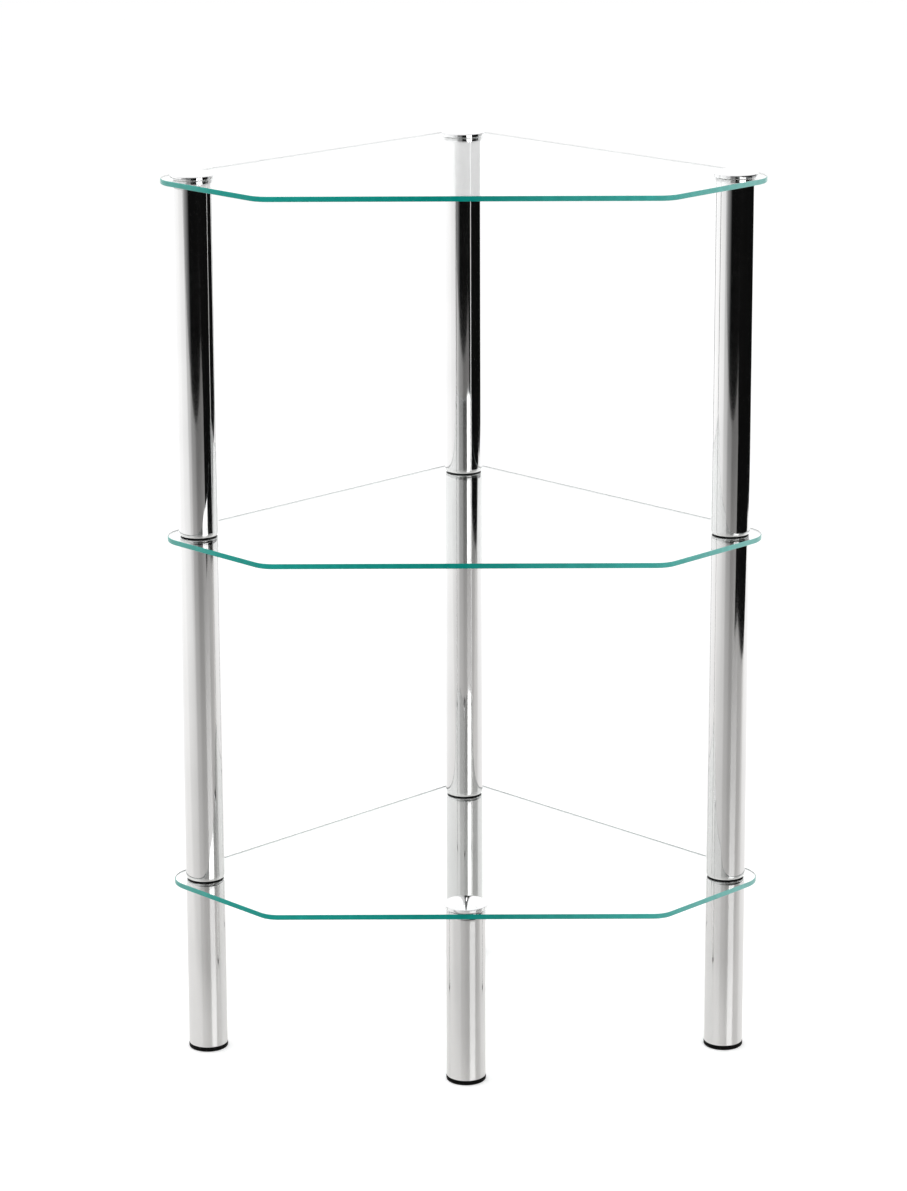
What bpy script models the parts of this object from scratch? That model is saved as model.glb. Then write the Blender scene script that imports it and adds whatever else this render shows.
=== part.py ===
"""Three-tier corner shelving unit: glass shelves clamped between chromed steel tubes.

Three tall posts carry every shelf, and a short fourth leg stands under the front of the
bottom shelf. A post is a stack of tubes. A stud fixed in the foot of each tube passes down
through the glass into a threaded insert in the head of the tube below, and a capped stud
closes each stack.

Metres, +Z up, front towards -Y, origin on the floor under the middle of the unit.
"""

import math

import bmesh
import bpy
from mathutils import Matrix, Vector

# Glass: a square that lies in a room corner, with its front corner cut off
WALL_EDGE = 0.420             # edge along each wall, between its sharp corners
FRONT_REACH = 0.108           # front edge ahead of the two side corners
CORNER_RADIUS = 0.030         # back corner and side corners
FRONT_CORNER_RADIUS = 0.025   # blunt corners at the ends of the front edge
GLASS_THICKNESS = 0.005
GLASS_ARRIS = 0.0006          # ground bevel along the edges

# Places of the tubes on the glass
POST_INSET = 0.030            # post axis to each of the two edges beside it
FRONT_LEG_INSET = 0.0225      # front leg's axis to the front edge

# Chromed tubes
TUBE_DIAMETER = 0.038
TUBE_WALL = 0.0012
POST_LENGTH = 0.338           # tube between two shelves
LEG_LENGTH = 0.165            # tube under the bottom shelf
LEG_PLATE = 0.006             # threaded plate welded into the foot of each leg

# Threaded joints through the glass
STUD_DIAMETER = 0.008
STUD_GRIP = 0.010             # stud inside the insert
STUD_POINT = 0.001            # chamfer at the end of a stud or stem
INSERT_LENGTH = 0.012
PLUG_LENGTH = 0.012

# Black washers on both faces of the glass
WASHER_THICKNESS = 0.001
WASHER_INSET = 0.00125        # washer rim inside the tube's outline
COLLAR_WALL = 0.0014          # lining of the hole in the glass

# Domed caps
CAP_OVERHANG = 0.0015         # cap rim outside the tube's outline
CAP_RIM = 0.0028              # height of the straight rim
CAP_EDGE = 0.0006             # chamfer between rim and dome
CAP_DOME = 0.0030             # rise of the dome

# Screw-in feet
FOOT_HEIGHT = 0.0042
FOOT_INSET = 0.0004           # foot rim inside the tube's outline
FOOT_EDGE_RADIUS = 0.0024     # rounded lower edge
FOOT_STEM_DIAMETER = 0.008
FOOT_STEM_LENGTH = 0.022

# Clearances
SEAT_GAP = 0.0003             # between faces that sit on each other
FIT_GAP = 0.0003              # around what goes into a bore, at each side

# Fineness of the round forms
TUBE_SEGMENTS = 32
CAP_SEGMENTS = 28
HOLE_SEGMENTS = 24
SMALL_SEGMENTS = 20
CORNER_STEPS = 8
FRONT_CORNER_STEPS = 4
DOME_STEPS = 4
FOOT_EDGE_STEPS = 3
SMOOTH_ANGLE = math.radians(35)
WELD_DISTANCE = 1e-6

# Radii that follow from the driving dimensions
TUBE_RADIUS = TUBE_DIAMETER / 2
BORE_RADIUS = TUBE_RADIUS - TUBE_WALL
FILLER_RADIUS = BORE_RADIUS - FIT_GAP
STUD_RADIUS = STUD_DIAMETER / 2
STUD_HOLE_RADIUS = STUD_RADIUS + FIT_GAP
COLLAR_RADIUS = STUD_HOLE_RADIUS + COLLAR_WALL
GLASS_HOLE_RADIUS = COLLAR_RADIUS + FIT_GAP
WASHER_RADIUS = TUBE_RADIUS - WASHER_INSET
CAP_RADIUS = TUBE_RADIUS + CAP_OVERHANG
FOOT_RADIUS = TUBE_RADIUS - FOOT_INSET
STEM_RADIUS = FOOT_STEM_DIAMETER / 2
STEM_HOLE_RADIUS = STEM_RADIUS + FIT_GAP

# Heights that follow, counted up from the floor; tier 0 is the bottom shelf
WASHER_SEAT = WASHER_THICKNESS + 2 * SEAT_GAP
CLAMP_HEIGHT = GLASS_THICKNESS + 2 * WASHER_SEAT
LEG_BASE = FOOT_HEIGHT + SEAT_GAP
TIER_PITCH = POST_LENGTH + CLAMP_HEIGHT
STUD_LENGTH = CLAMP_HEIGHT + STUD_GRIP
TIERS = ("bottom", "middle", "top")

# Plan that follows: the sharp back corner lies at zero until the outline is centred
SIDE_REACH = WALL_EDGE / math.sqrt(2)
FRONT_EDGE = SIDE_REACH + FRONT_REACH
BACK_TRIM = CORNER_RADIUS * (math.sqrt(2) - 1)
CENTRE_SHIFT = (FRONT_EDGE + BACK_TRIM) / 2
POST_DIAGONAL = POST_INSET * math.sqrt(2)

POST_PLACES = {
    "left": (POST_DIAGONAL - SIDE_REACH, CENTRE_SHIFT - SIDE_REACH),
    "right": (SIDE_REACH - POST_DIAGONAL, CENTRE_SHIFT - SIDE_REACH),
    "back": (0.0, CENTRE_SHIFT - POST_DIAGONAL),
}
LEG_PLACES = {
    **POST_PLACES,
    "front": (0.0, CENTRE_SHIFT - FRONT_EDGE + FRONT_LEG_INSET),
}


def clamp_base(tier):
    """Height of the tube ends that carry a tier."""
    return LEG_BASE + LEG_LENGTH + tier * TIER_PITCH


def remove_all_objects():
    for item in list(bpy.data.objects):
        bpy.data.objects.remove(item, do_unlink=True)


def make_material(name, colour, roughness, metallic=0.0, transmission=0.0):
    material = bpy.data.materials.new(name)
    material.use_nodes = True
    shader = material.node_tree.nodes["Principled BSDF"]
    shader.inputs["Base Color"].default_value = (*colour, 1.0)
    shader.inputs["Roughness"].default_value = roughness
    shader.inputs["Metallic"].default_value = metallic
    shader.inputs["Transmission Weight"].default_value = transmission
    material.diffuse_color = (*colour, 1.0)
    return material


def finish_mesh(shape, name, material=None):
    """Close a working shape into a smooth-shaded mesh with one material or none."""
    bmesh.ops.remove_doubles(shape, verts=shape.verts, dist=WELD_DISTANCE)
    bmesh.ops.recalc_face_normals(shape, faces=shape.faces)
    mesh = bpy.data.meshes.new(name)
    shape.to_mesh(mesh)
    shape.free()
    mesh.shade_smooth()
    mesh.set_sharp_from_angle(angle=SMOOTH_ANGLE)
    if material:
        mesh.materials.append(material)
    return mesh


def turned_mesh(name, profile, segments, material=None):
    """Turn an outline of (radius, height) points about Z.

    An outline that starts and ends on the axis makes a solid piece, any other makes a ring.
    """
    shape = bmesh.new()
    points = [shape.verts.new((radius, 0.0, height)) for radius, height in profile]
    sides = list(zip(points, points[1:]))
    if profile[0][0] > 0:
        sides.append((points[-1], points[0]))
    for start, end in sides:
        shape.edges.new((start, end))
    bmesh.ops.spin(
        shape,
        geom=shape.verts[:] + shape.edges[:],
        cent=(0.0, 0.0, 0.0),
        axis=(0.0, 0.0, 1.0),
        angle=2 * math.pi,
        steps=segments,
        use_merge=True,
    )
    return finish_mesh(shape, name, material)


def place(name, mesh, parent, location):
    piece = bpy.data.objects.new(name, mesh)
    bpy.context.collection.objects.link(piece)
    piece.parent = parent
    piece.location = location
    return piece


def neighbours(corners):
    """Each corner with the directions in which the outline reaches and leaves it."""
    before = corners[-1:] + corners[:-1]
    after = corners[1:] + corners[:1]
    for last, here, following in zip(before, corners, after):
        yield here, (here - last).normalized(), (following - here).normalized()


def turn_left(direction):
    return Vector((-direction.y, direction.x))


def inset_corners(corners, distance):
    """Move every side of a convex anticlockwise outline inwards by one distance."""
    moved = []
    for here, arrive, leave in neighbours(corners):
        inwards = turn_left(arrive) + turn_left(leave)
        moved.append(here + inwards * distance / (1 + arrive.dot(leave)))
    return moved


def rounded_outline(corners, roundings):
    """Replace each corner by an arc; roundings gives its radius and number of steps."""
    points = []
    for (here, arrive, leave), (radius, steps) in zip(neighbours(corners), roundings):
        bend = arrive.angle(leave)
        start = here - arrive * radius * math.tan(bend / 2)
        centre = start + turn_left(arrive) * radius
        for step in range(steps + 1):
            spoke = Matrix.Rotation(bend * step / steps, 2) @ (start - centre)
            points.append(centre + spoke)
    return points


def glass_outline(inset):
    """Shelf outline in plan, seen from above and listed anticlockwise from the back corner."""
    back = Vector((0.0, CENTRE_SHIFT))
    side = Vector((SIDE_REACH, CENTRE_SHIFT - SIDE_REACH))
    front = Vector((SIDE_REACH - FRONT_REACH, CENTRE_SHIFT - FRONT_EDGE))
    mirror = Vector((-1.0, 1.0))
    corners = [back, side * mirror, front * mirror, front, side]
    tight = (CORNER_RADIUS - inset, CORNER_STEPS)
    blunt = (FRONT_CORNER_RADIUS - inset, FRONT_CORNER_STEPS)
    return rounded_outline(inset_corners(corners, inset), [tight, tight, blunt, blunt, tight])


def glass_mesh(material):
    """Glass sheet with ground edges, its underside at zero, before its holes are cut."""
    shape = bmesh.new()
    levels = [
        (0.0, GLASS_ARRIS),
        (GLASS_ARRIS, 0.0),
        (GLASS_THICKNESS - GLASS_ARRIS, 0.0),
        (GLASS_THICKNESS, GLASS_ARRIS),
    ]
    rings = []
    for height, inset in levels:
        rings.append([shape.verts.new((*point, height)) for point in glass_outline(inset)])
    for lower, upper in zip(rings, rings[1:]):
        for index in range(len(lower)):
            following = (index + 1) % len(lower)
            shape.faces.new((lower[index], lower[following], upper[following], upper[index]))
    shape.faces.new(rings[0])
    shape.faces.new(rings[-1])
    return finish_mesh(shape, "glass_sheet", material)


def tube_mesh(material):
    profile = [
        (TUBE_RADIUS, 0.0),
        (TUBE_RADIUS, POST_LENGTH),
        (BORE_RADIUS, POST_LENGTH),
        (BORE_RADIUS, 0.0),
    ]
    return turned_mesh("post_tube", profile, TUBE_SEGMENTS, material)


def leg_mesh(material):
    """Tube with a plate across its foot, bored for the stem of the screw-in foot."""
    profile = [
        (TUBE_RADIUS, 0.0),
        (TUBE_RADIUS, LEG_LENGTH),
        (BORE_RADIUS, LEG_LENGTH),
        (BORE_RADIUS, LEG_PLATE),
        (STEM_HOLE_RADIUS, LEG_PLATE),
        (STEM_HOLE_RADIUS, 0.0),
    ]
    return turned_mesh("leg_tube", profile, TUBE_SEGMENTS, material)


def insert_mesh(material):
    """Threaded ring, its top face at zero, flush with the head of its tube."""
    profile = [
        (FILLER_RADIUS, -INSERT_LENGTH),
        (FILLER_RADIUS, 0.0),
        (STUD_HOLE_RADIUS, 0.0),
        (STUD_HOLE_RADIUS, -INSERT_LENGTH),
    ]
    return turned_mesh("threaded_insert", profile, SMALL_SEGMENTS, material)


def stud_profile(radius, length):
    """Stud that hangs down from zero, from its root to its chamfered end on the axis."""
    point = min(STUD_POINT, radius / 2)
    return [
        (radius, 0.0),
        (radius, point - length),
        (radius - point, -length),
        (0.0, -length),
    ]


def plug_mesh(material):
    """Plug in the foot of a post, its lower face at zero, with the stud below it."""
    profile = [
        (0.0, PLUG_LENGTH),
        (FILLER_RADIUS, PLUG_LENGTH),
        (FILLER_RADIUS, 0.0),
        *stud_profile(STUD_RADIUS, STUD_LENGTH),
    ]
    return turned_mesh("stud_plug", profile, SMALL_SEGMENTS, material)


def dome_points(radius, base, rise):
    """Points of a shallow spherical dome, from its crown on the axis to its rim."""
    sphere = (radius ** 2 + rise ** 2) / (2 * rise)
    spread = math.asin(radius / sphere)
    points = []
    for step in range(DOME_STEPS + 1):
        angle = spread * step / DOME_STEPS
        points.append((sphere * math.sin(angle), base + rise - sphere * (1 - math.cos(angle))))
    return points


def cap_mesh(material):
    """Domed cap, its underside at zero, with the stud below it."""
    profile = [
        *dome_points(CAP_RADIUS - CAP_EDGE, CAP_RIM, CAP_DOME),
        (CAP_RADIUS, CAP_RIM - CAP_EDGE),
        (CAP_RADIUS, 0.0),
        *stud_profile(STUD_RADIUS, STUD_LENGTH),
    ]
    return turned_mesh("domed_cap", profile, CAP_SEGMENTS, material)


def upper_washer_mesh(material):
    """Flat washer, its underside at zero."""
    profile = [
        (WASHER_RADIUS, 0.0),
        (WASHER_RADIUS, WASHER_THICKNESS),
        (STUD_HOLE_RADIUS, WASHER_THICKNESS),
        (STUD_HOLE_RADIUS, 0.0),
    ]
    return turned_mesh("flat_washer", profile, SMALL_SEGMENTS, material)


def lower_washer_mesh(material):
    """Washer with a collar that stands up in the hole in the glass, its underside at zero."""
    collar_top = WASHER_THICKNESS + GLASS_THICKNESS
    profile = [
        (WASHER_RADIUS, 0.0),
        (WASHER_RADIUS, WASHER_THICKNESS),
        (COLLAR_RADIUS, WASHER_THICKNESS),
        (COLLAR_RADIUS, collar_top),
        (STUD_HOLE_RADIUS, collar_top),
        (STUD_HOLE_RADIUS, 0.0),
    ]
    return turned_mesh("collar_washer", profile, SMALL_SEGMENTS, material)


def foot_mesh(material):
    """Foot with a rounded lower edge, its top face at zero, and the stem above it."""
    edge = min(FOOT_EDGE_RADIUS, FOOT_HEIGHT)
    point = min(STUD_POINT, STEM_RADIUS / 2)
    profile = [(0.0, -FOOT_HEIGHT)]
    for step in range(FOOT_EDGE_STEPS + 1):
        angle = math.pi / 2 * step / FOOT_EDGE_STEPS
        radius = FOOT_RADIUS - edge + edge * math.sin(angle)
        profile.append((radius, edge - FOOT_HEIGHT - edge * math.cos(angle)))
    profile += [
        (FOOT_RADIUS, 0.0),
        (STEM_RADIUS, 0.0),
        (STEM_RADIUS, FOOT_STEM_LENGTH - point),
        (STEM_RADIUS - point, FOOT_STEM_LENGTH),
        (0.0, FOOT_STEM_LENGTH),
    ]
    return turned_mesh("levelling_foot", profile, SMALL_SEGMENTS, material)


def add_hole_cutters(unit):
    """One upright cutter on each post axis, long enough for every tier."""
    height = clamp_base(len(TIERS))
    profile = [
        (0.0, height),
        (GLASS_HOLE_RADIUS, height),
        (GLASS_HOLE_RADIUS, 0.0),
        (0.0, 0.0),
    ]
    mesh = turned_mesh("glass_hole", profile, HOLE_SEGMENTS)
    cutters = {}
    for side, (x, y) in LEG_PLACES.items():
        cutter = place(f"{side}_hole_cutter", mesh, unit, (x, y, 0.0))
        cutter.hide_render = True
        cutter.display_type = "WIRE"
        cutters[side] = cutter
    return cutters


def add_shelves(unit, glass):
    cutters = add_hole_cutters(unit)
    for tier, level in enumerate(TIERS):
        underside = clamp_base(tier) + WASHER_SEAT
        shelf = place(f"{level}_shelf", glass_mesh(glass), unit, (0.0, 0.0, underside))
        for side in LEG_PLACES if tier == 0 else POST_PLACES:
            hole = shelf.modifiers.new(f"{side}_hole", "BOOLEAN")
            hole.operation = "DIFFERENCE"
            hole.solver = "EXACT"
            hole.object = cutters[side]


def add_legs(unit, chrome, zinc, black):
    """Legs with their inserts, and the feet screwed into them."""
    tube = leg_mesh(chrome)
    insert = insert_mesh(zinc)
    foot = foot_mesh(black)
    for side, (x, y) in LEG_PLACES.items():
        place(f"{side}_leg", tube, unit, (x, y, LEG_BASE))
        place(f"{side}_leg_insert", insert, unit, (x, y, LEG_BASE + LEG_LENGTH))
        place(f"{side}_foot", foot, unit, (x, y, FOOT_HEIGHT))


def add_posts(unit, chrome, zinc):
    """Lower and upper posts, each with a stud plug in its foot and an insert in its head."""
    tube = tube_mesh(chrome)
    insert = insert_mesh(zinc)
    plug = plug_mesh(zinc)
    for tier, level in enumerate(("lower", "upper")):
        base = clamp_base(tier) + CLAMP_HEIGHT
        for side, (x, y) in POST_PLACES.items():
            place(f"{side}_{level}_post", tube, unit, (x, y, base))
            place(f"{side}_{level}_plug", plug, unit, (x, y, base))
            place(f"{side}_{level}_insert", insert, unit, (x, y, base + POST_LENGTH))


def add_washers(unit, black):
    """A collared washer under the glass and a flat one on it, wherever a tube meets a shelf."""
    flat = upper_washer_mesh(black)
    collared = lower_washer_mesh(black)
    for tier, level in enumerate(TIERS):
        below = clamp_base(tier) + SEAT_GAP
        above = clamp_base(tier) + WASHER_SEAT + GLASS_THICKNESS + SEAT_GAP
        for side, (x, y) in (LEG_PLACES if tier == 0 else POST_PLACES).items():
            place(f"{side}_{level}_lower_washer", collared, unit, (x, y, below))
            place(f"{side}_{level}_upper_washer", flat, unit, (x, y, above))


def add_caps(unit, chrome):
    """A cap over each post on the top shelf, and one over the front leg."""
    cap = cap_mesh(chrome)
    for side, (x, y) in LEG_PLACES.items():
        tier = 0 if side == "front" else len(TIERS) - 1
        place(f"{side}_cap", cap, unit, (x, y, clamp_base(tier) + CLAMP_HEIGHT))


def build_unit():
    remove_all_objects()
    unit = bpy.data.objects.new("shelving_unit", None)
    bpy.context.collection.objects.link(unit)
    glass = make_material("clear_glass", (0.86, 0.95, 0.93), 0.0, transmission=1.0)
    tube_chrome = make_material("tube_chrome", (0.80, 0.80, 0.81), 0.08, metallic=1.0)
    cap_chrome = make_material("cap_chrome", (0.86, 0.86, 0.87), 0.05, metallic=1.0)
    zinc = make_material("zinc_plated_steel", (0.62, 0.63, 0.64), 0.35, metallic=1.0)
    washer_black = make_material("black_washer_plastic", (0.02, 0.02, 0.02), 0.45)
    foot_black = make_material("black_foot_plastic", (0.015, 0.015, 0.015), 0.5)
    add_shelves(unit, glass)
    add_legs(unit, tube_chrome, zinc, foot_black)
    add_posts(unit, tube_chrome, zinc)
    add_washers(unit, washer_black)
    add_caps(unit, cap_chrome)


build_unit()
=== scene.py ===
"""Looks of the three-tier corner shelving unit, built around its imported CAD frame.

Every part that shows is a finer piece that stands for its CAD node: glass sheets with ground
edges, chromed tubes with drawn-in ends, domed caps, black washers, and feet on threaded stems.
Metres, +Z up, front towards -Y, in the frame of the CAD model.
"""

import math

import bmesh
import bpy
from mathutils import Matrix, Vector


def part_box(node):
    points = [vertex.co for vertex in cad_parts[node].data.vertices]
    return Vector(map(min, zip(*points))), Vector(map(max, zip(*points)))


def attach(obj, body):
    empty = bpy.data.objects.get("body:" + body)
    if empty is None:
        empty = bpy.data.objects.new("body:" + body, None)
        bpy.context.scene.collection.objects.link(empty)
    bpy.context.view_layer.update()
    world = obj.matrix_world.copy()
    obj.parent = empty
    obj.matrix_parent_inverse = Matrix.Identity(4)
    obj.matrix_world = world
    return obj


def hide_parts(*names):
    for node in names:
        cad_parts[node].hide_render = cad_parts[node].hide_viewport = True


# Names of the CAD model
POSTS = ("left", "right", "back")
LEGS = ("left", "right", "back", "front")
TIERS = ("bottom", "middle", "top")
POST_LEVELS = ("lower", "upper")
WASHER_FACES = ("lower", "upper")

# Glass outline, the same as in the CAD model
WALL_EDGE = 0.420
FRONT_REACH = 0.108
CORNER_RADIUS = 0.030
FRONT_CORNER_RADIUS = 0.025
FRONT_CORNER_BEND = math.radians(45)
GLASS_HOLE_RADIUS = 0.006

# Ground bevel of the glass, and the fineness of its corners
GLASS_ARRIS = 0.0006
CORNER_STEPS = 24
FRONT_CORNER_STEPS = 12

# Tubes, whose ends are drawn in and reach a little past their solids
TUBE_WALL = 0.0012
TUBE_END_TAPER = 0.0010
TUBE_END_HEIGHT = 0.0042
TUBE_END_STEPS = 16
POST_FOOT_REACH = 0.0006
TUBE_HEAD_REACH = 0.0013
LEG_FOOT_TAPER = 0.0004
LEG_FOOT_HEIGHT = 0.0010
LEG_PLATE = 0.006
STEM_HOLE_RADIUS = 0.0043

# Caps, whose rounded rim starts where the dome ends, short of a full quarter turn
CAD_CAP_HEIGHT = 0.0058
CAP_FLARE = 0.0007
CAP_EDGE = 0.0009
CAP_EDGE_SHARE = 0.82
CAP_UNDER_EDGE = 0.0004
CAP_DOME = 0.0036
CAP_SKIRT = 0.0015
CAP_SKIRT_BORE = 0.0182
STUD_RADIUS = 0.004

# Washers
WASHER_EDGE = 0.0003
WASHER_HOLE_RADIUS = 0.0043
WASHER_THICKNESS = 0.001
COLLAR_RADIUS = 0.0057

# Feet
FOOT_EDGE_RADIUS = 0.0015
FOOT_TOP_EDGE = 0.0004
FOOT_FLARE = 0.0006
FOOT_STEM_RADIUS = 0.004
FOOT_STEM_LENGTH = 0.022

# Threads
THREAD_PITCH = 0.00125
THREAD_DEPTH = 0.0006
THREAD_ROWS = 6
THREAD_POINT = 0.001

# Fineness of the round forms
TUBE_SEGMENTS = 96
SMALL_SEGMENTS = 64
HOLE_SEGMENTS = 48
EDGE_STEPS = 5
HOLD = 0.0002
DOME_STEPS = 14
SMOOTH_ANGLE = math.radians(32)

# Values between which most of a noise lies, and the same a little higher
NOISE_LOW = 0.3
NOISE_HIGH = 0.7
PATCH_LOW = 0.35
PATCH_HIGH = 0.75

# Chrome: a cloudy haze, and fine polishing lines round the tube
HAZE_SCALE = 14.0
HAZE_CLEAR = 0.6
HAZE_CLOUDY = 1.6
LINE_SCALE = 9000.0
LINE_STRETCH = (0.05, 0.05, 1.0)
LINE_LOW = 0.45
LINE_HIGH = 0.75
LINE_ROUGHNESS = 0.065
CHROME_SMEAR = 0.95
CHROME_SMEAR_TURN = 0.25
TUBE_CHROME = {
    "pale": (0.72, 0.72, 0.72),
    "dull": (0.68, 0.68, 0.68),
    "rough": 0.03,
}
# Caps: the tubes' plating, painted paler so that the caps show whiter
CAP_CHROME_PAINTED_PALER = {
    "pale": (0.90, 0.90, 0.905),
    "dull": (0.86, 0.86, 0.865),
    "rough": 0.02,
}

# Glass, and its edges from the left to the right of the unit: the glass's own teal, painted darker in
# the middle and paler at the ends to stand in for the light that crosses the glass
GLASS_COLOUR = (0.975, 0.993, 0.988, 1.0)
GLASS_SHADOW = (0.95, 0.975, 0.97, 1.0)
GLASS_IOR = 1.5
WAVE_SCALE = 9.0
WAVE_STRENGTH = 0.05
WAVE_HEIGHT = 0.0002
EDGE_REACH = 0.285
EDGE_TINTS_AND_PAINTED_LIGHT = (
    (0.0, (0.150, 0.460, 0.410)),
    (0.10, (0.012, 0.330, 0.280)),
    (0.50, (0.000, 0.215, 0.180)),
    (0.80, (0.045, 0.350, 0.310)),
    (1.0, (0.250, 0.510, 0.475)),
)
EDGE_GRAIN_SCALE = 160.0
EDGE_GRAIN_VALUES = (0.92, 1.06)
EDGE_ROUGHNESS = (0.12, 0.28)
EDGE_SHINE = 0.12
EDGE_BUMP_STRENGTH = 0.05
EDGE_BUMP_HEIGHT = 0.0001
# Inside of the edges: a pale grey painted to stand in for the light that the edge shows from inside
# the glass
INSIDE_PAINTED_DULL = (0.62, 0.67, 0.66)
INSIDE_PAINTED_PALE = (0.72, 0.76, 0.75)
EDGE_INSIDE_ROUGHNESS = 0.6

# Black plastic
PATCH_SCALE = 120.0
PATCH_SMOOTH = 0.85
PATCH_ROUGH = 1.15
GRAIN_STRENGTH = 0.25
GRAIN_HEIGHT = 0.0001
WASHER_BLACK = {
    "colour": (0.004, 0.004, 0.004),
    "pale": (0.009, 0.009, 0.009),
    "rough": 0.45,
    "shine": 0.15,
    "grain_scale": 5000.0,
}
FOOT_BLACK = {
    "colour": (0.002, 0.002, 0.002),
    "pale": (0.005, 0.005, 0.005),
    "rough": 0.55,
    "shine": 0.05,
    "grain_scale": 2600.0,
}

# Zinc plating
ZINC_SCALE = 260.0
ZINC_BLUE = (0.50, 0.52, 0.55)
ZINC_PALE = (0.66, 0.66, 0.64)
ZINC_ROUGHNESS = (0.22, 0.42)

# Camera, fitted to the photograph
CAMERA_PLACE = (-0.011, -3.61, 1.453)
CAMERA_PITCH = math.radians(-13.575)
CAMERA_YAW = -0.0009
CAMERA_ROLL = 0.003
CAMERA_LENS = 114.86
CAMERA_SENSOR = 36.0
CAMERA_SHIFT = -0.12

# Lamps: name, place, aim, width and height, and watts
LAMPS = (
    ("softbox", (1.85, -2.45, 1.55), (0.0, 0.0, 0.4), (1.75, 1.2), 24.0),
    ("overhead", (-1.2, 0.3, 3.0), (0.0, 0.0, 0.3), (2.4, 2.0), 22.0),
)

# White paper that ends in front and at the right
WHITE = (1.0, 1.0, 1.0, 1.0)
PAPER_LEFT = -7.0
PAPER_FRONT = -2.85
PAPER_BACK = 9.0
PAPER_STRIP = 0.13
PAPER_LEVEL = -0.0002
PAPER_HEM = 0.012
PAPER_RIGHT_EDGE = (
    (1.75, -2.3),
    (0.95, -1.4),
    (1.35, -1.2),
    (1.5, -0.9),
    (1.65, 0.0),
    (2.2, 0.75),
    (2.0, 1.2),
    (1.9, 1.75),
    (6.5, 5.0),
)
PAPER_COLOUR = 0.8
PAPER_GLOW = 0.40

# The paper in mirrors, with spans that give two places and the levels there
PAPER_WARMTH = (1.0, 0.982, 0.960, 1.0)
FRONT_SPAN = (-2.5, -0.2, 0.19, 0.60)
NEAR_SPAN = (-0.36, -0.14, 0.0, 0.16)
LEFT_SPAN = (-0.6, -2.2, 0.0, 0.62)
SLANT_SPAN = (-0.75, -0.35, 0.1, 1.0)
SLANT = 0.6
BACK_SPAN = (-0.2, 1.2, 0.0, 1.0)
BRIGHT_LEVEL = 0.83
SHEEN_SPAN = (0.3, 2.0, 0.26, 0.52)
SHEEN_ROUGHNESS = 0.3

# Room, with a small margin of brightness that keeps the background white in the picture
ROOM_LIGHT = 0.75
BACKDROP_MARGIN = 0.05

# The room in mirrors, by degrees to the right of the front: dark in front and at the right
ROOM_FLOOR_TURNS = (
    (-180, 1.1),
    (-157, 1.0),
    (-55, 0.82),
    (-44, 0.38),
    (-20, 0.005),
    (129, 0.005),
    (142, 1.0),
    (180, 1.1),
)
ROOM_WALL_TURNS = (
    (-180, 1.2),
    (-31, 0.95),
    (-28, 0.38),
    (-6, 0.32),
    (-2, 0.005),
    (90, 0.005),
    (96, 0.95),
    (180, 1.2),
)
HORIZON_LOW = -0.02
HORIZON_HIGH = 0.04
WALL_LEVEL = 0.62
WALL_LOW = math.sin(math.radians(5.0))
WALL_HIGH = math.sin(math.radians(7.5))
CEILING_LOW = math.sin(math.radians(55))
CEILING_HIGH = math.sin(math.radians(80))


# Mesh helpers

def bend_of(arrive, leave):
    """Signed angle from one direction to the next, positive to the left."""
    return math.atan2(arrive.x * leave.y - arrive.y * leave.x, arrive.dot(leave))


def rounded(corners, roundings):
    """Replace each corner of a closed outline by an arc of the given radius and steps."""
    points = []
    before = corners[-1:] + corners[:-1]
    after = corners[1:] + corners[:1]
    for last, here, following, (radius, steps) in zip(before, corners, after, roundings):
        if radius == 0:
            points.append(here)
            continue
        arrive = (here - last).normalized()
        leave = (following - here).normalized()
        bend = bend_of(arrive, leave)
        start = here - arrive * radius * math.tan(abs(bend) / 2)
        inwards = Vector((-arrive.y, arrive.x)) * math.copysign(radius, bend)
        centre = start + inwards
        for step in range(steps + 1):
            points.append(centre + Matrix.Rotation(bend * step / steps, 2) @ (start - centre))
    return points


def rows_of(points):
    """Turning rows without a thread."""
    return [(point.x, point.y, 0.0) for point in points]


def held(points, closed):
    """Add a point just inside both ends of each long span, so that it keeps a flat shading."""
    ends = points[1:] + points[:1] if closed else points[1:]
    kept = []
    for start, end in zip(points, ends):
        kept.append(start)
        span = end - start
        if span.length > 3 * HOLD:
            kept.append(start + span.normalized() * HOLD)
            kept.append(end - span.normalized() * HOLD)
    if not closed:
        kept.append(points[-1])
    return kept


def profile_of(corners):
    """Rounded turning profile from (radius, height, edge radius) corners of a closed ring."""
    places = [Vector((radius, height)) for radius, height, edge in corners]
    roundings = [(edge, EDGE_STEPS) for radius, height, edge in corners]
    return rows_of(held(rounded(places, roundings), True))


def thread_rows(radius, start, end):
    """Rows of a threaded rod from its root to its pointed end on the axis."""
    away = math.copysign(1.0, end - start)
    length = abs(end - start) - THREAD_POINT
    count = max(2, round(length / THREAD_PITCH * THREAD_ROWS))
    rows = []
    for step in range(count + 1):
        fade = min(1.0, step / THREAD_ROWS, (count - step) / THREAD_ROWS)
        height = start + away * length * step / count
        rows.append((radius, height, THREAD_DEPTH * fade))
    rows.append((radius - THREAD_POINT, end, 0.0))
    rows.append((0.0, end, 0.0))
    return rows


def thread_cut(angle, height, depth):
    """Depth of the thread's groove at an angle and height."""
    turn = (height / THREAD_PITCH - angle / (2 * math.pi)) % 1.0
    return depth * abs(2 * turn - 1)


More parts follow.
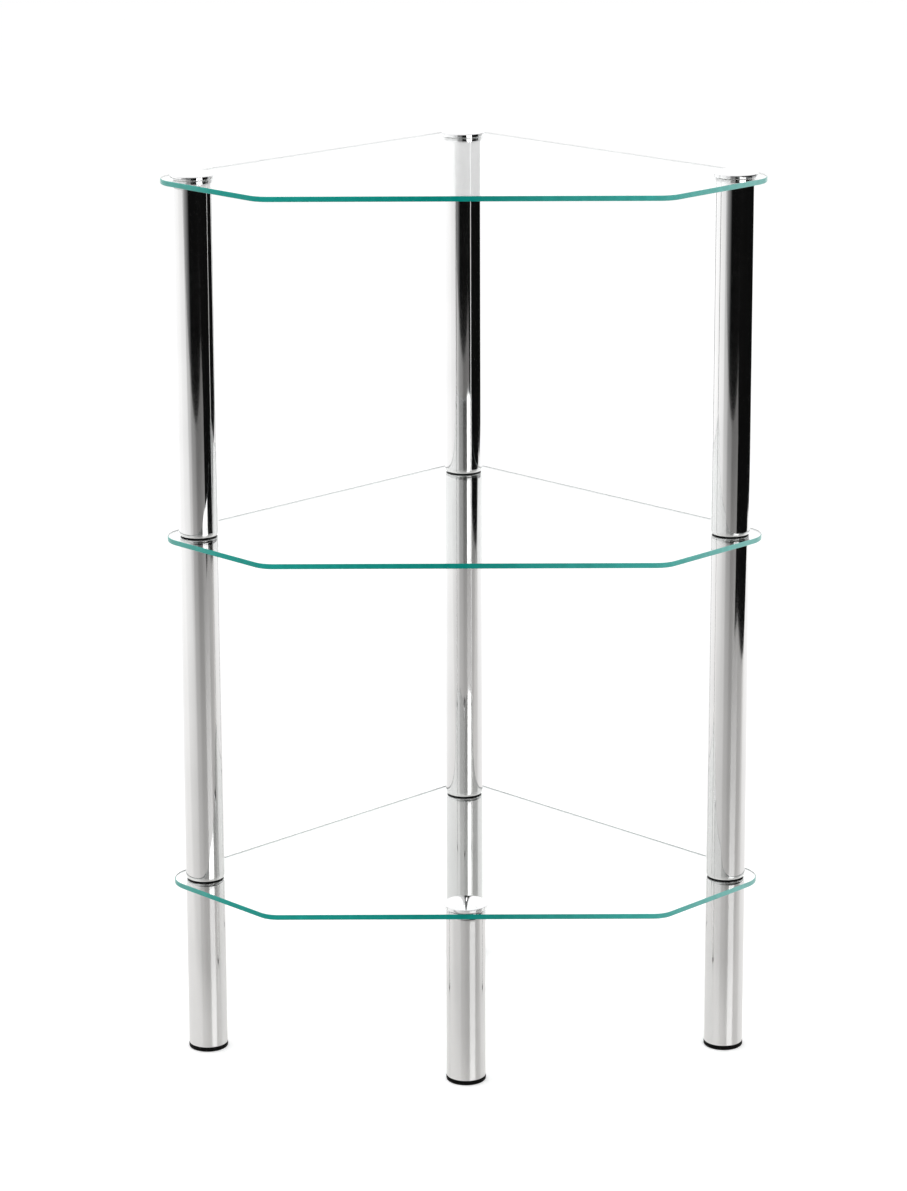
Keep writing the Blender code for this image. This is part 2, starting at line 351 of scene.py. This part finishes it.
def turned_mesh(name, rows, segments, material):
    """Turn (radius, height, thread depth) rows about Z.

    Rows that start on the axis make a solid piece, any others are closed into a ring.
    """
    shape = bmesh.new()
    rings = []
    for radius, height, depth in rows:
        if radius == 0:
            rings.append([shape.verts.new((0.0, 0.0, height))])
            continue
        ring = []
        for index in range(segments):
            angle = 2 * math.pi * index / segments
            reach = radius - thread_cut(angle, height, depth)
            ring.append(shape.verts.new((reach * math.cos(angle), reach * math.sin(angle), height)))
        rings.append(ring)
    pairs = list(zip(rings, rings[1:]))
    if rows[0][0] > 0:
        pairs.append((rings[-1], rings[0]))
    for lower, upper in pairs:
        bridge(shape, lower, upper)
    return finish_mesh(shape, name, [material])


def bridge(shape, lower, upper):
    """Faces between two rings, or between a ring and a point on the axis."""
    count = max(len(lower), len(upper))
    faces = []
    for index in range(count):
        following = (index + 1) % count
        if len(lower) == 1:
            corners = (lower[0], upper[following], upper[index])
        elif len(upper) == 1:
            corners = (lower[index], lower[following], upper[0])
        else:
            corners = (lower[index], lower[following], upper[following], upper[index])
        faces.append(shape.faces.new(corners))
    return faces


def finish_mesh(shape, name, materials):
    bmesh.ops.recalc_face_normals(shape, faces=shape.faces)
    mesh = bpy.data.meshes.new(name)
    shape.to_mesh(mesh)
    shape.free()
    mesh.shade_smooth()
    mesh.set_sharp_from_angle(angle=SMOOTH_ANGLE)
    for material in materials:
        mesh.materials.append(material)
    return mesh


# Node helpers

def new_material(name):
    """Empty node material and its tree."""
    material = bpy.data.materials.new(name)
    material.use_nodes = True
    material.node_tree.nodes.clear()
    return material, material.node_tree


def add_node(tree, kind, inputs=None, **settings):
    """Add a node, set its options, and set or link its inputs by name or number."""
    made = tree.nodes.new(kind)
    for option, value in settings.items():
        setattr(made, option, value)
    for key, value in (inputs or {}).items():
        if isinstance(value, bpy.types.NodeSocket):
            tree.links.new(value, made.inputs[key])
        else:
            made.inputs[key].default_value = value
    return made


def add_math(tree, operation, first, second):
    return add_node(tree, "ShaderNodeMath", {0: first, 1: second}, operation=operation).outputs[0]


def one_minus(tree, value):
    return add_math(tree, "SUBTRACT", 1.0, value)


def add_range(tree, value, low, high, to_low=0.0, to_high=1.0, smooth=False):
    """Map a value from one range to another, clamped at both ends."""
    made = add_node(
        tree,
        "ShaderNodeMapRange",
        {
            "Value": value,
            "From Min": low,
            "From Max": high,
            "To Min": to_low,
            "To Max": to_high,
        },
        interpolation_type="SMOOTHSTEP" if smooth else "LINEAR",
    )
    return made.outputs["Result"]


def add_noise(tree, scale, detail, stretch=(1.0, 1.0, 1.0)):
    """Noise in the piece's own coordinates, with scale in patterns per metre."""
    place = add_node(tree, "ShaderNodeTexCoord").outputs["Object"]
    mapped = add_node(tree, "ShaderNodeMapping", {"Vector": place, "Scale": stretch})
    made = add_node(
        tree,
        "ShaderNodeTexNoise",
        {"Vector": mapped.outputs["Vector"], "Scale": scale, "Detail": detail},
    )
    return made.outputs["Fac"]


def add_ramp(tree, factor, stops):
    """Colour ramp with (place, colour) stops."""
    made = add_node(tree, "ShaderNodeValToRGB", {"Fac": factor})
    elements = made.color_ramp.elements
    while len(elements) < len(stops):
        elements.new(0.5)
    for element, (place, colour) in zip(elements, stops):
        element.position = place
        element.color = (*colour, 1.0)
    return made.outputs["Color"]


def add_bump(tree, height, strength, distance):
    made = add_node(
        tree,
        "ShaderNodeBump",
        {"Height": height, "Strength": strength, "Distance": distance},
    )
    return made.outputs["Normal"]


def mix_colours(tree, factor, first, second):
    made = add_node(
        tree,
        "ShaderNodeMix",
        {"Factor": factor, 6: first, 7: second},
        data_type="RGBA",
    )
    return made.outputs[2]


def mix_shaders(tree, factor, first, second):
    return add_node(tree, "ShaderNodeMixShader", {0: factor, 1: first, 2: second}).outputs[0]


def add_shaders(tree, first, second):
    return add_node(tree, "ShaderNodeAddShader", {0: first, 1: second}).outputs[0]


def at_least(tree, rays, depth, count):
    """1 where a ray has been mirrored, or has passed a surface, at least so many times."""
    return add_math(tree, "GREATER_THAN", rays.outputs[depth], count - 0.5)


def is_seen(tree, rays):
    """1 for rays from the eye and for those that a mirror or a glass has sent on."""
    seen = add_math(tree, "MAXIMUM", rays.outputs["Is Camera Ray"], rays.outputs["Is Glossy Ray"])
    return add_math(tree, "MAXIMUM", seen, rays.outputs["Is Transmission Ray"])


def show(tree, shader):
    add_node(tree, "ShaderNodeOutputMaterial", {"Surface": shader})


# Materials

def chrome_material(name, pale, dull, rough):
    """Polished plating: faint haze, and fine polishing lines round the tube that smear highlights."""
    material, tree = new_material(name)
    haze = add_noise(tree, HAZE_SCALE, detail=4.0)
    lines = add_noise(tree, LINE_SCALE, detail=2.0, stretch=LINE_STRETCH)
    colour = add_ramp(tree, haze, [(NOISE_LOW, dull), (NOISE_HIGH, pale)])
    polish = add_range(tree, haze, PATCH_LOW, PATCH_HIGH, rough * HAZE_CLEAR, rough * HAZE_CLOUDY)
    scratched = add_range(tree, lines, LINE_LOW, LINE_HIGH)
    roughness = add_range(tree, scratched, 0.0, 1.0, polish, LINE_ROUGHNESS)
    shader = add_node(
        tree,
        "ShaderNodeBsdfPrincipled",
        {
            "Base Color": colour,
            "Metallic": 1.0,
            "Roughness": roughness,
            "Anisotropic": CHROME_SMEAR,
            "Anisotropic Rotation": CHROME_SMEAR_TURN,
        },
    )
    show(tree, shader.outputs[0])
    return material


def glass_body(tree):
    """Clear toughened glass with the faint roller wave of its furnace."""
    wave = add_noise(tree, WAVE_SCALE, detail=1.0)
    return add_node(
        tree,
        "ShaderNodeBsdfPrincipled",
        {
            "Base Color": GLASS_COLOUR,
            "Roughness": 0.0,
            "IOR": GLASS_IOR,
            "Transmission Weight": 1.0,
            "Normal": add_bump(tree, wave, WAVE_STRENGTH, WAVE_HEIGHT),
        },
    ).outputs[0]


def lets_light_through(tree, shader):
    """Glass that throws no dark shadow: rays from lamps pass straight through it."""
    clear = add_node(tree, "ShaderNodeBsdfTransparent", {"Color": GLASS_SHADOW})
    rays = add_node(tree, "ShaderNodeLightPath")
    return mix_shaders(tree, rays.outputs["Is Shadow Ray"], shader, clear.outputs[0])


def glass_face_material():
    material, tree = new_material("clear_glass")
    show(tree, lets_light_through(tree, glass_body(tree)))
    return material


def ground_edge(tree, grain):
    """Outer face of an edge, in the glass's own teal with painted light: darkest where the light has
    crossed most glass.
    """
    place = add_node(tree, "ShaderNodeTexCoord").outputs["Object"]
    across = add_node(tree, "ShaderNodeSeparateXYZ", {0: place}).outputs["X"]
    # painted light: the teal is darkened across the middle, where light would cross most glass
    tint = add_ramp(tree, add_range(tree, across, -EDGE_REACH, EDGE_REACH), EDGE_TINTS_AND_PAINTED_LIGHT)
    value = add_range(tree, grain, NOISE_LOW, NOISE_HIGH, *EDGE_GRAIN_VALUES)
    colour = add_node(tree, "ShaderNodeHueSaturation", {"Value": value, "Color": tint})
    return add_node(
        tree,
        "ShaderNodeBsdfPrincipled",
        {
            "Base Color": colour.outputs[0],
            "Roughness": add_range(tree, grain, NOISE_LOW, NOISE_HIGH, *EDGE_ROUGHNESS),
            "IOR": GLASS_IOR,
            "Specular IOR Level": EDGE_SHINE,
            "Normal": add_bump(tree, grain, EDGE_BUMP_STRENGTH, EDGE_BUMP_HEIGHT),
        },
    ).outputs[0]


def glass_edge_material():
    """Ground edge that shows a painted pale grey where it is seen from inside the glass, standing in
    for the light the edge shows there.
    """
    material, tree = new_material("glass_edge")
    grain = add_noise(tree, EDGE_GRAIN_SCALE, detail=4.0)
    # painted light: pale grey in place of what the edge shows from inside the glass
    inside_painted_colour = add_ramp(tree, grain, [(NOISE_LOW, INSIDE_PAINTED_DULL), (NOISE_HIGH, INSIDE_PAINTED_PALE)])
    inside_painted = add_node(
        tree,
        "ShaderNodeBsdfPrincipled",
        {"Base Color": inside_painted_colour, "Roughness": EDGE_INSIDE_ROUGHNESS},
    )
    inside = add_node(tree, "ShaderNodeNewGeometry").outputs["Backfacing"]
    both = mix_shaders(tree, inside, ground_edge(tree, grain), inside_painted.outputs[0])
    show(tree, lets_light_through(tree, both))
    return material


def black_material(name, colour, pale, rough, shine, grain_scale):
    """Moulded black plastic with a fine grain and slightly paler patches."""
    material, tree = new_material(name)
    grain = add_noise(tree, grain_scale, detail=3.0)
    patches = add_noise(tree, PATCH_SCALE, detail=2.0)
    roughness = (rough * PATCH_SMOOTH, rough * PATCH_ROUGH)
    shader = add_node(
        tree,
        "ShaderNodeBsdfPrincipled",
        {
            "Base Color": add_ramp(tree, patches, [(PATCH_LOW, colour), (PATCH_HIGH, pale)]),
            "Roughness": add_range(tree, patches, NOISE_LOW, NOISE_HIGH, *roughness),
            "Specular IOR Level": shine,
            "Normal": add_bump(tree, grain, GRAIN_STRENGTH, GRAIN_HEIGHT),
        },
    )
    show(tree, shader.outputs[0])
    return material


def zinc_material():
    """Bright zinc plating with the cloudy spangle of passivated fasteners."""
    material, tree = new_material("zinc_plating")
    cloud = add_noise(tree, ZINC_SCALE, detail=3.0)
    shader = add_node(
        tree,
        "ShaderNodeBsdfPrincipled",
        {
            "Base Color": add_ramp(tree, cloud, [(NOISE_LOW, ZINC_BLUE), (NOISE_HIGH, ZINC_PALE)]),
            "Metallic": 1.0,
            "Roughness": add_range(tree, cloud, NOISE_LOW, NOISE_HIGH, *ZINC_ROUGHNESS),
        },
    )
    show(tree, shader.outputs[0])
    return material


# Pieces

def put(name, mesh, node, body, place=(0.0, 0.0, 0.0)):
    """Place a piece for a CAD node, on the node's body."""
    piece = bpy.data.objects.new(name, mesh)
    bpy.context.scene.collection.objects.link(piece)
    piece.location = place
    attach(piece, body)
    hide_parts(node)


def axis_of(node):
    """Plan place, lowest and highest point and radius of a round CAD node."""
    low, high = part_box(node)
    middle = (low + high) / 2
    return middle.x, middle.y, low.z, high.z, (high.x - low.x) / 2


def glass_outline(inset):
    """Shelf outline in plan, anticlockwise from the back corner."""
    side_reach = WALL_EDGE / math.sqrt(2)
    front_edge = side_reach + FRONT_REACH
    back_trim = CORNER_RADIUS * (math.sqrt(2) - 1)
    shift = (front_edge + back_trim) / 2
    half = inset * math.tan(FRONT_CORNER_BEND / 2)
    back = Vector((0.0, shift - inset * math.sqrt(2)))
    side = Vector((side_reach - inset * math.sqrt(2), shift - side_reach))
    front = Vector((side_reach - FRONT_REACH - half, shift - front_edge + inset))
    mirror = Vector((-1.0, 1.0))
    tight = (CORNER_RADIUS - inset, CORNER_STEPS)
    blunt = (FRONT_CORNER_RADIUS - inset, FRONT_CORNER_STEPS)
    corners = [back, side * mirror, front * mirror, front, side]
    return rounded(corners, [tight, tight, blunt, blunt, tight])


def ring_of(shape, points, height):
    return [shape.verts.new((point[0], point[1], height)) for point in points]


def circle_points(x, y, radius):
    points = []
    for index in range(HOLE_SEGMENTS):
        angle = 2 * math.pi * index / HOLE_SEGMENTS
        points.append((x + radius * math.cos(angle), y + radius * math.sin(angle)))
    return points


def fill_face(shape, rings, up):
    """Triangles between an outer ring and its holes."""
    edges = []
    for ring in rings:
        for start, end in zip(ring, ring[1:] + ring[:1]):
            edges.append(shape.edges.get((start, end)))
    bmesh.ops.triangle_fill(shape, use_beauty=True, edges=edges, normal=(0.0, 0.0, up))


def shelf_mesh(name, low, high, holes, face, edge):
    """Glass sheet with ground arrises and drilled holes."""
    shape = bmesh.new()
    levels = [
        (low, GLASS_ARRIS),
        (low + GLASS_ARRIS, 0.0),
        (high - GLASS_ARRIS, 0.0),
        (high, GLASS_ARRIS),
    ]
    rings = [ring_of(shape, glass_outline(inset), height) for height, inset in levels]
    sides = []
    for lower, upper in zip(rings, rings[1:]):
        sides += bridge(shape, lower, upper)
    bottom_rings = [rings[0]]
    top_rings = [rings[-1]]
    for x, y in holes:
        circle = circle_points(x, y, GLASS_HOLE_RADIUS)
        bottom_rings.append(ring_of(shape, circle, low))
        top_rings.append(ring_of(shape, circle, high))
        sides += bridge(shape, bottom_rings[-1], top_rings[-1])
    for side in sides:
        side.material_index = 1
    fill_face(shape, bottom_rings, -1.0)
    fill_face(shape, top_rings, 1.0)
    return finish_mesh(shape, name, [face, edge])


def add_shelves():
    face = glass_face_material()
    edge = glass_edge_material()
    for tier in TIERS:
        node = f"{tier}_shelf"
        low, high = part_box(node)
        sides = LEGS if tier == "bottom" else POSTS
        holes = [axis_of(f"{side}_{tier}_upper_washer")[:2] for side in sides]
        mesh = shelf_mesh(f"{node}_sheet", low.z, high.z, holes, face, edge)
        put(f"{node}_sheet", mesh, node, "unit")


def end_arc(radius, end, taper, span):
    """Drawn-in end of a tube, from its end face to its wall, over a span up or down."""
    points = []
    for step in range(TUBE_END_STEPS + 1):
        angle = math.pi / 2 * step / TUBE_END_STEPS
        reach = radius - taper * (1 - math.sin(angle))
        points.append(Vector((reach, end + span * (1 - math.cos(angle)))))
    return points


def head_arc(radius, length):
    """Upper end of a tube, from its wall to its end face."""
    return list(reversed(end_arc(radius, length, TUBE_END_TAPER, -TUBE_END_HEIGHT)))


def post_profile(radius, length):
    """Wall of a post, drawn in at both ends."""
    bore = radius - TUBE_WALL
    points = end_arc(radius, 0.0, TUBE_END_TAPER, TUBE_END_HEIGHT) + head_arc(radius, length)
    points += [Vector((bore, length)), Vector((bore, 0.0))]
    return rows_of(held(points, True))


def leg_profile(radius, length):
    """Wall of a leg, with a nearly square foot that is closed by a bored plate."""
    bore = radius - TUBE_WALL
    points = end_arc(radius, 0.0, LEG_FOOT_TAPER, LEG_FOOT_HEIGHT) + head_arc(radius, length)
    points += [
        Vector((bore, length)),
        Vector((bore, LEG_PLATE)),
        Vector((STEM_HOLE_RADIUS, LEG_PLATE)),
        Vector((STEM_HOLE_RADIUS, 0.0)),
    ]
    return rows_of(held(points, True))


def add_tubes():
    """Legs and posts, whose drawn-in ends reach round the washers."""
    chrome = chrome_material("tube_chrome", **TUBE_CHROME)
    nodes = [(f"{side}_leg", leg_profile, 0.0) for side in LEGS]
    for level in POST_LEVELS:
        nodes += [(f"{side}_{level}_post", post_profile, POST_FOOT_REACH) for side in POSTS]
    for node, profile, foot_reach in nodes:
        x, y, low, high, radius = axis_of(node)
        rows = profile(radius, high - low + foot_reach + TUBE_HEAD_REACH)
        mesh = turned_mesh(f"{node}_tube", rows, TUBE_SEGMENTS, chrome)
        put(f"{node}_tube", mesh, node, "unit", (x, y, low - foot_reach))


def dome_points(radius, base, rise):
    """Points of a shallow dome, from its crown to its rim."""
    sphere = (radius ** 2 + rise ** 2) / (2 * rise)
    spread = math.asin(radius / sphere)
    points = []
    for step in range(DOME_STEPS + 1):
        angle = spread * step / DOME_STEPS
        height = base + rise - sphere * (1 - math.cos(angle))
        points.append(Vector((sphere * math.sin(angle), height)))
    return points


def edge_points(radius, height, edge, start, end):
    """Points round an outer edge of a turned piece, between two angles."""
    points = []
    for step in range(1, EDGE_STEPS + 1):
        angle = start + (end - start) * step / EDGE_STEPS
        reach = radius - edge + edge * math.cos(angle)
        points.append(Vector((reach, height + edge * math.sin(angle))))
    return points


def cap_rows(radius, height, stud_end):
    """Dome, rounded rim, skirt round the washer and the threaded stud."""
    quarter = math.pi / 2
    rim = height - CAP_DOME
    points = dome_points(radius - CAP_EDGE, rim, CAP_DOME)
    points += edge_points(radius, rim - CAP_EDGE, CAP_EDGE, quarter * CAP_EDGE_SHARE, 0.0)
    points += edge_points(radius, CAP_UNDER_EDGE - CAP_SKIRT, CAP_UNDER_EDGE, 0.0, -quarter)
    points.append(Vector((CAP_SKIRT_BORE, -CAP_SKIRT)))
    points.append(Vector((CAP_SKIRT_BORE, 0.0)))
    points.append(Vector((STUD_RADIUS, 0.0)))
    return rows_of(held(points, False)) + thread_rows(STUD_RADIUS, 0.0, stud_end)


def add_caps():
    # painted light: the caps' chrome is a paler copy of the tubes' plating, so that they show whiter
    chrome = chrome_material("cap_chrome", **CAP_CHROME_PAINTED_PALER)
    for side in LEGS:
        node = f"{side}_cap"
        x, y, low, high, radius = axis_of(node)
        under = high - CAD_CAP_HEIGHT
        rows = cap_rows(radius + CAP_FLARE, high - under, low - under)
        mesh = turned_mesh(f"{node}_dome", rows, TUBE_SEGMENTS, chrome)
        put(f"{node}_dome", mesh, node, "unit", (x, y, under))


def washer_profile(radius, height, collar):
    """Flat ring with soft edges, or a ring with a collar that lines the hole in the glass."""
    hole = WASHER_HOLE_RADIUS
    corners = [(radius, 0.0, WASHER_EDGE), (radius, WASHER_THICKNESS, WASHER_EDGE)]
    if collar:
        corners.append((COLLAR_RADIUS, WASHER_THICKNESS, 0.0))
        corners.append((COLLAR_RADIUS, height, 0.0))
    corners += [(hole, height, 0.0), (hole, 0.0, 0.0)]
    return profile_of(corners)


def add_washers():
    black = black_material("washer_black", **WASHER_BLACK)
    for tier in TIERS:
        for side in LEGS if tier == "bottom" else POSTS:
            for face in WASHER_FACES:
                node = f"{side}_{tier}_{face}_washer"
                x, y, low, high, radius = axis_of(node)
                rows = washer_profile(radius, high - low, face == "lower")
                mesh = turned_mesh(f"{node}_ring", rows, SMALL_SEGMENTS, black)
                put(f"{node}_ring", mesh, node, "unit", (x, y, low))


def foot_rows(radius, height, stem_end):
    """Sole, rounded lower edge, rim, and the threaded stem above it."""
    quarter = math.pi / 2
    points = [Vector((0.0, 0.0)), Vector((radius - FOOT_EDGE_RADIUS, 0.0))]
    points += edge_points(radius, FOOT_EDGE_RADIUS, FOOT_EDGE_RADIUS, -quarter, 0.0)
    points += edge_points(radius, height - FOOT_TOP_EDGE, FOOT_TOP_EDGE, 0.0, quarter)
    points.append(Vector((FOOT_STEM_RADIUS, height)))
    return rows_of(held(points, False)) + thread_rows(FOOT_STEM_RADIUS, height, stem_end)


def add_feet():
    black = black_material("foot_black", **FOOT_BLACK)
    for side in LEGS:
        node = f"{side}_foot"
        x, y, low, high, radius = axis_of(node)
        stem_end = high - low
        rows = foot_rows(radius + FOOT_FLARE, stem_end - FOOT_STEM_LENGTH, stem_end)
        mesh = turned_mesh(f"{node}_pad", rows, SMALL_SEGMENTS, black)
        put(f"{node}_pad", mesh, node, node, (x, y, low))


def dress_hidden_nodes(nodes):
    """Plating for the inserts and plugs, which keep their CAD shapes inside the tubes."""
    zinc = zinc_material()
    for name, item in nodes.items():
        if name.endswith("_insert") or name.endswith("_plug"):
            item.data.materials.clear()
            item.data.materials.append(zinc)


# Stage

def mirrored_paper(tree, place):
    """How lit the paper is at the left and behind, and its level in mirrors.

    It is dim in front, where it gets a little paler near the unit. The lit left part starts past a
    slanting line.
    """
    parts = add_node(tree, "ShaderNodeSeparateXYZ", {0: place})
    across = parts.outputs["X"]
    along = parts.outputs["Y"]
    front = add_range(tree, along, *FRONT_SPAN)
    near = add_range(tree, along, *NEAR_SPAN, smooth=True)
    front = add_math(tree, "ADD", front, near)
    slant = add_math(tree, "SUBTRACT", along, add_math(tree, "MULTIPLY", across, SLANT))
    past_slant = add_range(tree, slant, *SLANT_SPAN, smooth=True)
    left = add_math(tree, "MULTIPLY", add_range(tree, across, *LEFT_SPAN), past_slant)
    back = add_range(tree, along, *BACK_SPAN)
    lit = add_math(tree, "MAXIMUM", left, back)
    return lit, add_range(tree, lit, 0.0, 1.0, front, BRIGHT_LEVEL)


def paper_sheen(tree, place, mirrored):
    """Soft sheen that the paper has in mirrors only, stronger away from the unit."""
    apart = add_node(tree, "ShaderNodeVectorMath", {0: place}, operation="LENGTH").outputs["Value"]
    level = add_math(tree, "MULTIPLY", mirrored, add_range(tree, apart, *SHEEN_SPAN))
    colour = add_node(tree, "ShaderNodeCombineColor", {0: level, 1: level, 2: level})
    return add_node(
        tree,
        "ShaderNodeBsdfGlossy",
        {"Color": colour.outputs[0], "Roughness": SHEEN_ROUGHNESS},
    ).outputs[0]


def paper_material():
    """Paper that shows white to the eye, dims in mirrors, and is clear from below."""
    material, tree = new_material("white_paper")
    rays = add_node(tree, "ShaderNodeLightPath")
    place = add_node(tree, "ShaderNodeTexCoord").outputs["Object"]
    mirrored = at_least(tree, rays, "Glossy Depth", 1)
    lit, level = mirrored_paper(tree, place)
    shade = add_range(tree, mirrored, 0.0, 1.0, 1.0, level)
    warmth = add_math(tree, "MULTIPLY", mirrored, one_minus(tree, lit))
    tint = mix_colours(tree, warmth, WHITE, PAPER_WARMTH)
    share = add_math(tree, "MULTIPLY", shade, PAPER_COLOUR)
    colour = add_node(tree, "ShaderNodeVectorMath", {0: tint, 3: share}, operation="SCALE")
    matte = add_node(tree, "ShaderNodeBsdfDiffuse", {"Color": colour.outputs[0]})
    glow_level = add_math(tree, "MULTIPLY", is_seen(tree, rays), shade)
    glow_level = add_math(tree, "MULTIPLY", glow_level, PAPER_GLOW)
    glow = add_node(tree, "ShaderNodeEmission", {"Color": tint, "Strength": glow_level})
    surface = add_shaders(tree, matte.outputs[0], glow.outputs[0])
    surface = add_shaders(tree, surface, paper_sheen(tree, place, mirrored))
    below = add_node(tree, "ShaderNodeNewGeometry").outputs["Backfacing"]
    clear = add_node(tree, "ShaderNodeBsdfTransparent")
    show(tree, mix_shaders(tree, below, surface, clear.outputs[0]))
    return material


def floor_areas():
    """Corners of the paper under each foot, anticlockwise from above."""
    strip = PAPER_STRIP
    front = PAPER_FRONT
    back = PAPER_BACK
    right_front = PAPER_RIGHT_EDGE[0][0]
    right_back = PAPER_RIGHT_EDGE[-1][0]
    return {
        "left": ((PAPER_LEFT, front), (-strip, front), (-strip, back), (PAPER_LEFT, back)),
        "right": (
            (strip, front),
            (right_front, front),
            *PAPER_RIGHT_EDGE,
            (right_back, back),
            (strip, back),
        ),
        "back": ((-strip, 0.0), (strip, 0.0), (strip, back), (-strip, back)),
        "front": ((-strip, front), (strip, front), (strip, 0.0), (-strip, 0.0)),
    }


def floor_mesh(name, corners, paper):
    """Sheet of paper with a hem that hangs down all round it."""
    count = len(corners)
    points = [(x, y, PAPER_LEVEL) for x, y in corners]
    points += [(x, y, PAPER_LEVEL - PAPER_HEM) for x, y in corners]
    faces = [tuple(range(count))]
    for start in range(count):
        end = (start + 1) % count
        faces.append((start + count, end + count, end, start))
    mesh = bpy.data.meshes.new(name)
    mesh.from_pydata(points, [], faces)
    mesh.materials.append(paper)
    return mesh


def add_floor():
    """Paper under each foot, which keeps touching that foot when it is screwed out."""
    paper = paper_material()
    for side, corners in floor_areas().items():
        mesh = floor_mesh(f"floor_{side}", corners, paper)
        floor = bpy.data.objects.new(f"floor_{side}", mesh)
        bpy.context.scene.collection.objects.link(floor)
        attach(floor, f"{side}_foot")


def room_levels(tree, way):
    """Brightness of the room by the turn from the front, below and above the horizon."""
    ahead = add_math(tree, "MULTIPLY", way.outputs["Y"], -1.0)
    turn = add_math(tree, "ARCTAN2", way.outputs["X"], ahead)
    share = add_range(tree, turn, -math.pi, math.pi)
    levels = []
    for turns in (ROOM_FLOOR_TURNS, ROOM_WALL_TURNS):
        stops = [(turned / 360 + 0.5, (level, level, level)) for turned, level in turns]
        levels.append(add_ramp(tree, share, stops))
    above = add_range(tree, way.outputs["Z"], HORIZON_LOW, HORIZON_HIGH)
    return mix_colours(tree, above, levels[0], levels[1])


def mirrored_room(tree, rays, way):
    """Room as mirrors show it, with walls of at least a light grey where they are mirrored once."""
    twice = at_least(tree, rays, "Glossy Depth", 2)
    through = at_least(tree, rays, "Transmission Depth", 3)
    once = one_minus(tree, add_math(tree, "MAXIMUM", twice, through))
    wall = add_range(tree, way.outputs["Z"], WALL_LOW, WALL_HIGH, smooth=True)
    pale_wall = add_math(tree, "MULTIPLY", add_math(tree, "MULTIPLY", wall, once), WALL_LEVEL)
    return add_node(
        tree,
        "ShaderNodeVectorMath",
        {0: room_levels(tree, way), 1: pale_wall},
        operation="MAXIMUM",
    ).outputs[0]


def add_world():
    """Even room light, in a room that is white to the eye and has a dark side in mirrors."""
    world = bpy.data.worlds.new("studio")
    bpy.context.scene.world = world
    world.use_nodes = True
    tree = world.node_tree
    tree.nodes.clear()
    rays = add_node(tree, "ShaderNodeLightPath")
    direction = add_node(tree, "ShaderNodeTexCoord").outputs["Generated"]
    way = add_node(tree, "ShaderNodeSeparateXYZ", {0: direction})
    ceiling = add_range(tree, way.outputs["Z"], CEILING_LOW, CEILING_HIGH, smooth=True)
    mirrored = at_least(tree, rays, "Glossy Depth", 1)
    plain = add_math(tree, "MAXIMUM", ceiling, one_minus(tree, mirrored))
    room = mix_colours(tree, plain, mirrored_room(tree, rays, way), WHITE)
    margin = add_math(tree, "MULTIPLY", rays.outputs["Is Camera Ray"], BACKDROP_MARGIN)
    strength = add_math(tree, "ADD", 1.0, margin)
    shown = add_node(tree, "ShaderNodeBackground", {"Color": room, "Strength": strength})
    light = add_node(tree, "ShaderNodeBackground", {"Color": WHITE, "Strength": ROOM_LIGHT})
    both = mix_shaders(tree, is_seen(tree, rays), light.outputs[0], shown.outputs[0])
    add_node(tree, "ShaderNodeOutputWorld", {"Surface": both})


def add_lamp(name, place, aim, size, power):
    """Soft box that points at a place on the unit, and doesn't show where it is mirrored once."""
    lamp = bpy.data.lights.new(name, "AREA")
    lamp.shape = "RECTANGLE"
    lamp.size, lamp.size_y = size
    lamp.energy = power
    lamp.use_nodes = True
    tree = lamp.node_tree
    tree.nodes.clear()
    mirrors = add_node(tree, "ShaderNodeLightPath").outputs["Glossy Depth"]
    once = add_math(tree, "COMPARE", mirrors, 1.0)
    glow = add_node(tree, "ShaderNodeEmission", {"Strength": one_minus(tree, once)})
    add_node(tree, "ShaderNodeOutputLight", {"Surface": glow.outputs[0]})
    item = bpy.data.objects.new(name, lamp)
    bpy.context.scene.collection.objects.link(item)
    item.location = place
    item.rotation_euler = (Vector(aim) - Vector(place)).to_track_quat("-Z", "Y").to_euler()


def add_camera():
    data = bpy.data.cameras.new("camera")
    data.lens = CAMERA_LENS
    data.sensor_width = CAMERA_SENSOR
    data.shift_y = CAMERA_SHIFT
    camera = bpy.data.objects.new("camera", data)
    bpy.context.scene.collection.objects.link(camera)
    camera.location = CAMERA_PLACE
    camera.rotation_euler = (math.pi / 2 + CAMERA_PITCH, CAMERA_ROLL, CAMERA_YAW)
    bpy.context.scene.camera = camera


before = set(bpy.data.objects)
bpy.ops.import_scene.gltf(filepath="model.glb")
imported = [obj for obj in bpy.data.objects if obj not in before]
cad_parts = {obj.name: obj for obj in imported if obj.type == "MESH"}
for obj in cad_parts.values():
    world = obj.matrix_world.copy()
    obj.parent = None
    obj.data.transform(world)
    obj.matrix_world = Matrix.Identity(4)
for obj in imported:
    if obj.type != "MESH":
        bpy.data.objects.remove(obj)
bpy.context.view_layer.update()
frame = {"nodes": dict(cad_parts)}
bpy.context.scene.view_settings.view_transform = "Standard"
add_camera()
add_world()
for lamp in LAMPS:
    add_lamp(*lamp)
add_floor()
add_shelves()
add_tubes()
add_caps()
add_washers()
add_feet()
dress_hidden_nodes(frame["nodes"])
